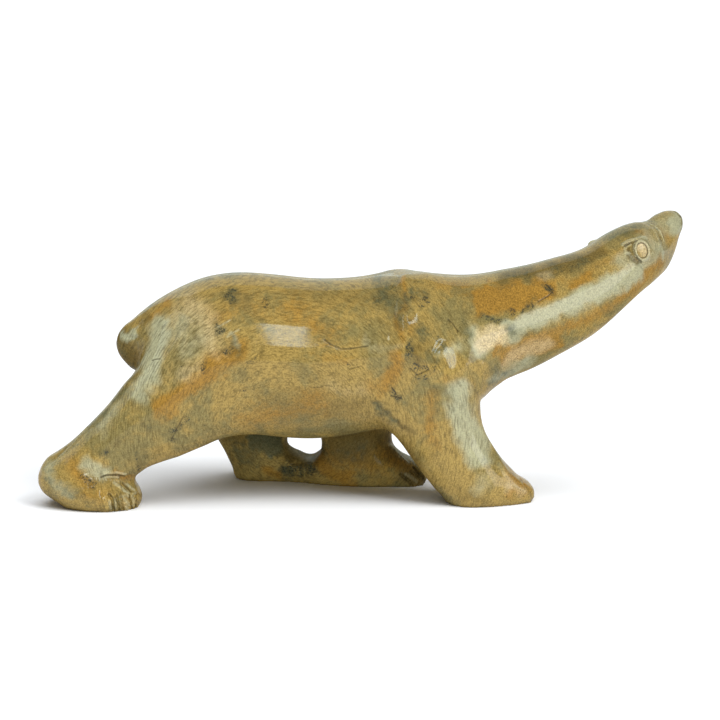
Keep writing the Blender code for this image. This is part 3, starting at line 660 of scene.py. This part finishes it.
# The lines in it: dark wax stays in every groove and crack, and the cloth rubs the ridges beside them
# pale. Both are also painted light, so that the relief reads: the dark in each groove and in the ears'
# hollows is painted shade, and the pale on each ridge and on the ears' rims is painted highlight. Both
# show most where the line is steepest.
GROOVE_SPILL = 0.4
DARKEST_SLOPE = 2.2
EAR_LINE = 0.07
EAR_LINE_WAX_AND_SHADE = 0.8


def waxed_and_shaded_lines(points):
    """How much dark wax and painted shade, and how much rubbing and painted highlight, each point has."""
    waxed_grooves_and_shade, rubbed_ridges_and_highlight = np.zeros(len(points)), np.zeros(len(points))
    for line, half_width, rise in chased + flaws:
        near, away = beside(line, points, half_width + GROOVE_SPILL)
        marked = waxed_grooves_and_shade if rise < 0 else rubbed_ridges_and_highlight
        steep = min(1, DARKEST_SLOPE * abs(rise) / half_width)
        marked[near] = np.maximum(marked[near], steep * (1 - away / (half_width + GROOVE_SPILL)))
    for ear in EARS:
        ring = ear_ring(points, *ear)[0]
        waxed_grooves_and_shade = np.maximum(waxed_grooves_and_shade, EAR_LINE_WAX_AND_SHADE * np.exp(-(((ring - HOLLOW_PLACE) / EAR_LINE) ** 2)))
        rubbed_ridges_and_highlight = np.maximum(rubbed_ridges_and_highlight, np.exp(-(((ring - RIM_PLACE) / RIM_WIDTH) ** 2)))
    return waxed_grooves_and_shade, rubbed_ridges_and_highlight


skin_waxed_grooves_and_shade, skin_rubbed_ridges_and_highlight = waxed_and_shaded_lines(points_of(skin))
lay_on(skin, "waxed_grooves_and_shade", skin_waxed_grooves_and_shade)
lay_on(skin, "rubbed_ridges_and_highlight", skin_rubbed_ridges_and_highlight)

# The finish over it: thin wax rubbed to a gloss. Under it the metal is speckled, stippled with tiny
# pits, and combed with short curved marks of the chasing tool, like fur. The marks lie in arcs round
# a place on the flank and fade out towards the feet and the head.
OCHRE = (0.286, 0.194, 0.056, 1)
OLIVE = (0.190, 0.150, 0.055, 1)
RUST_BROWN = (0.270, 0.140, 0.022, 1)
# Slate green, also used as painted shade.
SLATE_GREEN_AND_SHADE = (0.058, 0.066, 0.036, 1)
# Pale chalk, also used as painted sheen.
PALE_CHALK_AND_SHEEN = (0.325, 0.320, 0.205, 1)
# Pinkish buff, also used as painted sheen.
PINK_BUFF_AND_SHEEN = (0.490, 0.385, 0.215, 1)
# Dark umber, also used as painted shade.
DARK_UMBER_AND_SHADE = (0.095, 0.062, 0.016, 1)
SOOT = (0.022, 0.026, 0.020, 1)
# Dark wax, also used as painted shade in the grooves.
DARK_WAX_AND_SHADE = (0.030, 0.022, 0.010, 1)
# Rubbed pale metal, also used as painted highlight on the ridges.
RUBBED_PALE_AND_HIGHLIGHT = (0.420, 0.400, 0.260, 1)

finish = bpy.data.materials.new("waxed_patina")
finish.use_nodes = True
nodes, links = finish.node_tree.nodes, finish.node_tree.links
bronze = nodes["Principled BSDF"]
place = nodes.new("ShaderNodeTexCoord").outputs["Object"]


def worked(kind, *values):
    """One sum, product or the like of tones, each a socket or a number."""
    node = nodes.new("ShaderNodeMath")
    node.operation = kind
    for socket, value in zip(node.inputs, values):
        if isinstance(value, (int, float)):
            socket.default_value = value
        else:
            links.new(value, socket)
    return node.outputs["Value"]


def plus(first, *others):
    """A sum of tones."""
    for other in others:
        first = worked("ADD", first, other)
    return first


def times(first, *others):
    """A product of tones."""
    for other in others:
        first = worked("MULTIPLY", first, other)
    return first


def less(tone, taken):
    """One tone less another."""
    return worked("SUBTRACT", tone, taken)


def swing(tone, amount):
    """A tone as a swing to both sides of nought."""
    return times(less(tone, 0.5), amount)


def between(tone, low, high):
    """0 below low, 1 above high, and soft between. It runs the other way where low is the greater."""
    ramp = nodes.new("ShaderNodeMapRange")
    ramp.interpolation_type = "SMOOTHSTEP"
    ramp.inputs["From Min"].default_value = low
    ramp.inputs["From Max"].default_value = high
    links.new(tone, ramp.inputs["Value"])
    return ramp.outputs["Result"]


def cloud(size, detail, roughness, drift=0.0, start=(0, 0, 0)):
    """Uneven tone over the metal, in clouds of that size in millimetres."""
    clouds = nodes.new("ShaderNodeTexNoise")
    clouds.inputs["Scale"].default_value = 1 / (size * MM)
    clouds.inputs["Detail"].default_value = detail
    clouds.inputs["Roughness"].default_value = roughness
    clouds.inputs["Distortion"].default_value = drift
    shift = nodes.new("ShaderNodeMapping")
    shift.inputs["Location"].default_value = start
    links.new(place, shift.inputs["Vector"])
    links.new(shift.outputs["Vector"], clouds.inputs["Vector"])
    return clouds.outputs["Fac"]


def mixed(kind, under, colour, share):
    """One colour laid over another, by a share from 0 to 1."""
    mix = nodes.new("ShaderNodeMix")
    mix.data_type = "RGBA"
    mix.blend_type = kind
    for socket, value in ((mix.inputs[0], share), (mix.inputs[6], under), (mix.inputs[7], colour)):
        if isinstance(value, (int, float, tuple)):
            socket.default_value = value
        else:
            links.new(value, socket)
    return mix.outputs[2]


broad = cloud(48, detail=4, roughness=0.6, drift=0.8)
middling = cloud(15, detail=6, roughness=0.62, drift=0.5, start=(0.3, 0.1, 0.7))
small = cloud(4.2, detail=4, roughness=0.65, start=(0.9, 0.4, 0.2))
grain = cloud(1.1, detail=2.5, roughness=0.7, start=(0.2, 0.8, 0.5))

# The comb marks: how far each place lies from their middle, which way, and where the marks fade out.
COMB_CENTRE = (-62, 0, 60)
COMB_REACH = 90
COMB_FADES = (0.19, 0.11)
COMB_SWAY = 5.0
from_centre = nodes.new("ShaderNodeVectorMath")
from_centre.operation = "SUBTRACT"
links.new(place, from_centre.inputs[0])
from_centre.inputs[1].default_value = Vector(COMB_CENTRE) * MM
axes = nodes.new("ShaderNodeSeparateXYZ")
links.new(from_centre.outputs["Vector"], axes.inputs["Vector"])
along_bear, across_bear, up_bear = axes.outputs
radius = worked("SQRT", plus(times(along_bear, along_bear), times(up_bear, up_bear)))
turn = worked("ARCTAN2", up_bear, along_bear)
fur = between(radius, *COMB_FADES)


def combed(apart, length):
    """Short marks that far apart and that long, in millimetres, laid in arcs like combed fur."""
    spread = nodes.new("ShaderNodeCombineXYZ")
    links.new(plus(times(radius, 1 / (apart * MM)), swing(middling, COMB_SWAY)), spread.inputs[0])
    links.new(times(turn, COMB_REACH / length), spread.inputs[1])
    links.new(times(across_bear, 1 / (length * MM)), spread.inputs[2])
    hatching = nodes.new("ShaderNodeTexNoise")
    hatching.inputs["Scale"].default_value = 1.0
    hatching.inputs["Detail"].default_value = 1.0
    links.new(spread.outputs["Vector"], hatching.inputs["Vector"])
    return times(swing(hatching.outputs["Fac"], 1.0), fur)


def painted(layer_name):
    """The value that the skin keeps under that name."""
    layer = nodes.new("ShaderNodeAttribute")
    layer.attribute_name = layer_name
    return layer.outputs["Fac"]


EDGE_BREAK = 0.9
THIN_EDGE = (0.02, 0.25)


def patch(layer_name, ragged, low, high):
    """A brushed patch, its edge broken up by the clouds in the metal."""
    edge = plus(swing(middling, EDGE_BREAK * ragged), swing(small, EDGE_BREAK * ragged))
    brushed_on = painted(layer_name)
    return times(between(plus(brushed_on, edge), low, high), between(brushed_on, *THIN_EDGE))


# The ground under the patches is ochre and olive in broad clouds, veined with umber.
MIDDLING_IN_GROUND = 0.35
SMALL_IN_GROUND = 0.2
SMALL_IN_VEINS = 0.3
OLIVE_TO_OCHRE = (0.36, 0.58)
VEIN_EDGE = (0.44, 0.28)
VEIN_SHARE = 0.35
ground = plus(broad, swing(middling, MIDDLING_IN_GROUND), swing(small, SMALL_IN_GROUND))
tone = mixed("MIX", OLIVE, OCHRE, between(ground, *OLIVE_TO_OCHRE))
veins = between(plus(middling, swing(small, SMALL_IN_VEINS)), *VEIN_EDGE)
tone = mixed("MIX", tone, DARK_UMBER_AND_SHADE, times(veins, VEIN_SHARE))

# The patches in the order that they were brushed on: how much of the ground each hides, and how
# ragged its edge is.
PATCH_EDGE = (0.10, 0.90)
PATCHES = [
    # Umber also lays painted shade.
    ("umber_and_shade", DARK_UMBER_AND_SHADE, 0.75, 0.8),
    ("rust", RUST_BROWN, 0.85, 0.8),
    # Chalk also lays painted sheen.
    ("chalk_and_sheen", PALE_CHALK_AND_SHEEN, 0.85, 0.4),
    # Buff also lays painted sheen.
    ("buff_and_sheen", PINK_BUFF_AND_SHEEN, 0.8, 0.3),
    # Slate also lays painted shade.
    ("slate_and_shade", SLATE_GREEN_AND_SHADE, 0.8, 1.5),
]
for brushed_layer, colour, hiding, ragged in PATCHES:
    tone = mixed("MIX", tone, colour, times(patch(brushed_layer, ragged, *PATCH_EDGE), hiding))

# Over them lie sooty specks, the rubbed ridges with their painted highlight, and the dark wax in the
# grooves with their painted shade.
SPECK_EDGE = (0.2, 0.5)
SPECK_RAGGED = 0.8
SPECK_SHARE = 0.9
SMALL_IN_DOTS = 0.8
GRAIN_IN_DOTS = 1.6
DOT_EDGE = (0.0, 0.14)
SOOTY_EDGE = (0.27, 0.20)
SOOTY_SHARE = 0.5
RUBBED_AND_HIGHLIGHT_SHARE = 0.7
WAX_AND_SHADE_EDGE = (0.1, 0.9)
WAX_AND_SHADE_SHARE = 0.85
dots = between(plus(swing(small, SMALL_IN_DOTS), swing(grain, GRAIN_IN_DOTS)), *DOT_EDGE)
specks = patch("specks", SPECK_RAGGED, *SPECK_EDGE)
tone = mixed("MIX", tone, SOOT, times(specks, dots, SPECK_SHARE))
tone = mixed("MIX", tone, SOOT, times(between(small, *SOOTY_EDGE), SOOTY_SHARE))
tone = mixed("MIX", tone, RUBBED_PALE_AND_HIGHLIGHT, times(painted("rubbed_ridges_and_highlight"), RUBBED_AND_HIGHLIGHT_SHARE))
tone = mixed("MIX", tone, DARK_WAX_AND_SHADE, times(between(painted("waxed_grooves_and_shade"), *WAX_AND_SHADE_EDGE), WAX_AND_SHADE_SHARE))

# The comb marks, the ribs and the stipple shade the tone up and down. The stipple is strongest where
# the comb marks have faded out, and half worn away on the chalky patches and their painted sheen.
HATCH_APART = 1.5
HATCH_LENGTH = 6.5
HATCH_EDGE = (-0.12, 0.12)
HATCH_TONE = 0.18
FINE_APART = 0.9
FINE_LENGTH = 5.0
FINE_EDGE = (-0.15, 0.15)
FINE_TONE = 0.36
RIB_PITCH = 1.8
RIB_SWAY = 9.0
RIB_DEPTH = 0.15
STIPPLE_TONE = 1.5
STIPPLE_BARE = 1.7
STIPPLE_COMBED_AWAY = 0.7
STIPPLE_WORN = 0.5
DEEP_MARKS = (0.0, -0.25)
DEEP_SHARE = 0.28
MARK_TONE = 0.6
SPECKLE_TONE = 0.4
hatch = combed(HATCH_APART, HATCH_LENGTH)
fine_hatch = combed(FINE_APART, FINE_LENGTH)
hatch_tone = swing(between(hatch, *HATCH_EDGE), HATCH_TONE)
fine_tone = swing(between(fine_hatch, *FINE_EDGE), FINE_TONE)
marks = plus(hatch_tone, fine_tone)
ribs = worked("SINE", plus(times(radius, 2 * pi / (RIB_PITCH * MM)), swing(middling, RIB_SWAY)))
marks = plus(marks, times(ribs, painted("ribs"), RIB_DEPTH))
worn = less(1.0, times(painted("chalk_and_sheen"), STIPPLE_WORN))
stipple = times(swing(grain, STIPPLE_TONE), less(STIPPLE_BARE, times(fur, STIPPLE_COMBED_AWAY)), worn)
tone = mixed("MIX", tone, DARK_UMBER_AND_SHADE, times(between(marks, *DEEP_MARKS), DEEP_SHARE))
shade = plus(1.0, plus(times(marks, MARK_TONE), plus(stipple, swing(small, SPECKLE_TONE))))
tone = mixed("MULTIPLY", tone, shade, 1.0)
links.new(tone, bronze.inputs["Base Color"])

# The surface itself: tool marks and pits too shallow to see from the side, and the wax, which alone
# mirrors the light.
MARK_DEPTH = 0.16 * MM
MARK_STRENGTH = 0.5
MARK_HEIGHT, PIT_HEIGHT = 0.7, 0.5
POLISH = 0.28
POLISH_SWING = 0.25
WAX_GLOSS = 0.4
WAX_LOST = 0.36
WAX_ROUGHNESS = 0.06
BARE_METAL = 0.1
bump = nodes.new("ShaderNodeBump")
bump.inputs["Strength"].default_value = MARK_STRENGTH
bump.inputs["Distance"].default_value = MARK_DEPTH
links.new(plus(times(hatch, MARK_HEIGHT), times(grain, PIT_HEIGHT)), bump.inputs["Height"])
links.new(bump.outputs["Normal"], bronze.inputs["Normal"])
links.new(plus(times(small, POLISH_SWING), POLISH), bronze.inputs["Roughness"])
bronze.inputs["Metallic"].default_value = BARE_METAL
bronze.inputs["Specular IOR Level"].default_value = 0.0
links.new(less(WAX_GLOSS, times(painted("dull"), WAX_LOST)), bronze.inputs["Coat Weight"])
bronze.inputs["Coat Roughness"].default_value = WAX_ROUGHNESS
skin.materials.clear()
skin.materials.append(finish)

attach(bear, "root")
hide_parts("polar_bear")

# The floor: a broad sheet of dull white paper, laid flat under the bear's soles. It runs on far past
# the picture on every side and carries nothing but the soft shadow under the bear.
FLOOR_HALF = 2.6
PAPER_WHITE = (0.9, 0.9, 0.9, 1)
paper = bpy.data.materials.new("white_paper")
paper.use_nodes = True
paper_inputs = paper.node_tree.nodes["Principled BSDF"].inputs
paper_inputs["Base Color"].default_value = PAPER_WHITE
paper_inputs["Roughness"].default_value = 1.0
paper_inputs["Specular IOR Level"].default_value = 0.0
sheet = bmesh.new()
bmesh.ops.create_grid(sheet, x_segments=1, y_segments=1, size=FLOOR_HALF)
floor_mesh = bpy.data.meshes.new("floor")
sheet.to_mesh(floor_mesh)
sheet.free()
floor = bpy.data.objects.new("floor", floor_mesh)
floor_mesh.materials.append(paper)
scene.collection.objects.link(floor)

# The light: a white cloth tent all round, which is brighter as a backdrop than as light, and nine
# softboxes, of which the wax mirrors six as pale sheens. Flags keep the paper's two boxes off the bear
# and the other seven off the paper.
TENT_WHITE = 1.2
TENT_LIGHT = 0.22
TENT_TINT = (1.0, 1.0, 0.98, 1)
NEUTRAL = (0.97, 1.0, 1.04)
WARM = (1.0, 0.97, 0.88)
COOL = (0.8, 1.0, 1.05)
BOX_DISTANCE = 9.0
MIDDLE = Vector((0, 0, 0.105))

# Each box has its bearing from the camera's side towards the head, its height, how wide and how tall it
# looks and how far it leans, all in degrees, then how bright it is, its tint, whether the wax mirrors
# it, and what it falls on.
SOFTBOXES = {
    "paper_top": (0, 85, 60, 50, 0, 3.0, NEUTRAL, False, floor),
    "paper_side": (62, 42, 30, 30, 0, 9.0, NEUTRAL, False, floor),
    "key": (-5, 54, 44, 26, 0, 8.8, WARM, False, bear),
    "fill": (180, 37, 64, 46, 0, 1.2, COOL, True, bear),
    "back_box": (180, 6, 76, 22, 0, 1.0, COOL, True, bear),
    "window": (3.8, 27, 2.5, 28, 3.3, 13.0, COOL, True, bear),
    "shoulder_box": (22, 9, 9, 12, 0, 11.0, COOL, True, bear),
    "right_box": (52, 8, 26, 20, 0, 4.8, NEUTRAL, True, bear),
    "left_box": (-78, 34, 36, 26, 0, 1.9, COOL, True, bear),
}
tent = bpy.data.worlds.new("white_tent")
tent.use_nodes = True
backing = tent.node_tree.nodes["Background"]
backing.inputs["Color"].default_value = TENT_TINT
seen = tent.node_tree.nodes.new("ShaderNodeLightPath")
brightness = tent.node_tree.nodes.new("ShaderNodeMapRange")
brightness.inputs["To Min"].default_value = TENT_LIGHT
brightness.inputs["To Max"].default_value = TENT_WHITE
tent.node_tree.links.new(seen.outputs["Is Camera Ray"], brightness.inputs["Value"])
tent.node_tree.links.new(brightness.outputs["Result"], backing.inputs["Strength"])
scene.world = tent
for box_name, (bearing, height, wide, tall, lean, glow, tint, mirrored, falls_on) in SOFTBOXES.items():
    across, up = radians(bearing), radians(height)
    way = Vector((sin(across) * cos(up), -cos(across) * cos(up), sin(up)))
    lamp = bpy.data.lights.new(box_name, "AREA")
    lamp.shape = "RECTANGLE"
    lamp.size = 2 * BOX_DISTANCE * tan(radians(wide / 2))
    lamp.size_y = 2 * BOX_DISTANCE * tan(radians(tall / 2))
    lamp.energy = glow * pi * lamp.size * lamp.size_y
    lamp.color = tint
    box = bpy.data.objects.new(box_name, lamp)
    box.location = MIDDLE + BOX_DISTANCE * way
    facing = (-way).to_track_quat("-Z", "Y")
    box.rotation_euler = (facing @ Quaternion((0, 0, 1), -radians(lean))).to_euler()
    box.visible_camera = False
    box.visible_glossy = mirrored
    lit = bpy.data.collections.new(box_name + "_falls_on")
    lit.objects.link(falls_on)
    box.light_linking.receiver_collection = lit
    scene.collection.objects.link(box)

# The camera: on the bear's right side, square to its length. It stands a little higher than the head
# and looks slightly down on the back.
VIEW_TARGET = Vector((-7.8, -5.5, 104.3)) * MM
VIEW_DISTANCE = 1.3
VIEW_DOWN = radians(10)
LENS = 83.9
camera = bpy.data.objects.new("camera", bpy.data.cameras.new("camera"))
camera.data.lens = LENS
camera.location = VIEW_TARGET + VIEW_DISTANCE * Vector((0, -cos(VIEW_DOWN), sin(VIEW_DOWN)))
camera.rotation_euler = (radians(90) - VIEW_DOWN, 0, 0)
scene.collection.objects.link(camera)
scene.camera = camera
scene.view_settings.view_transform = "Standard"
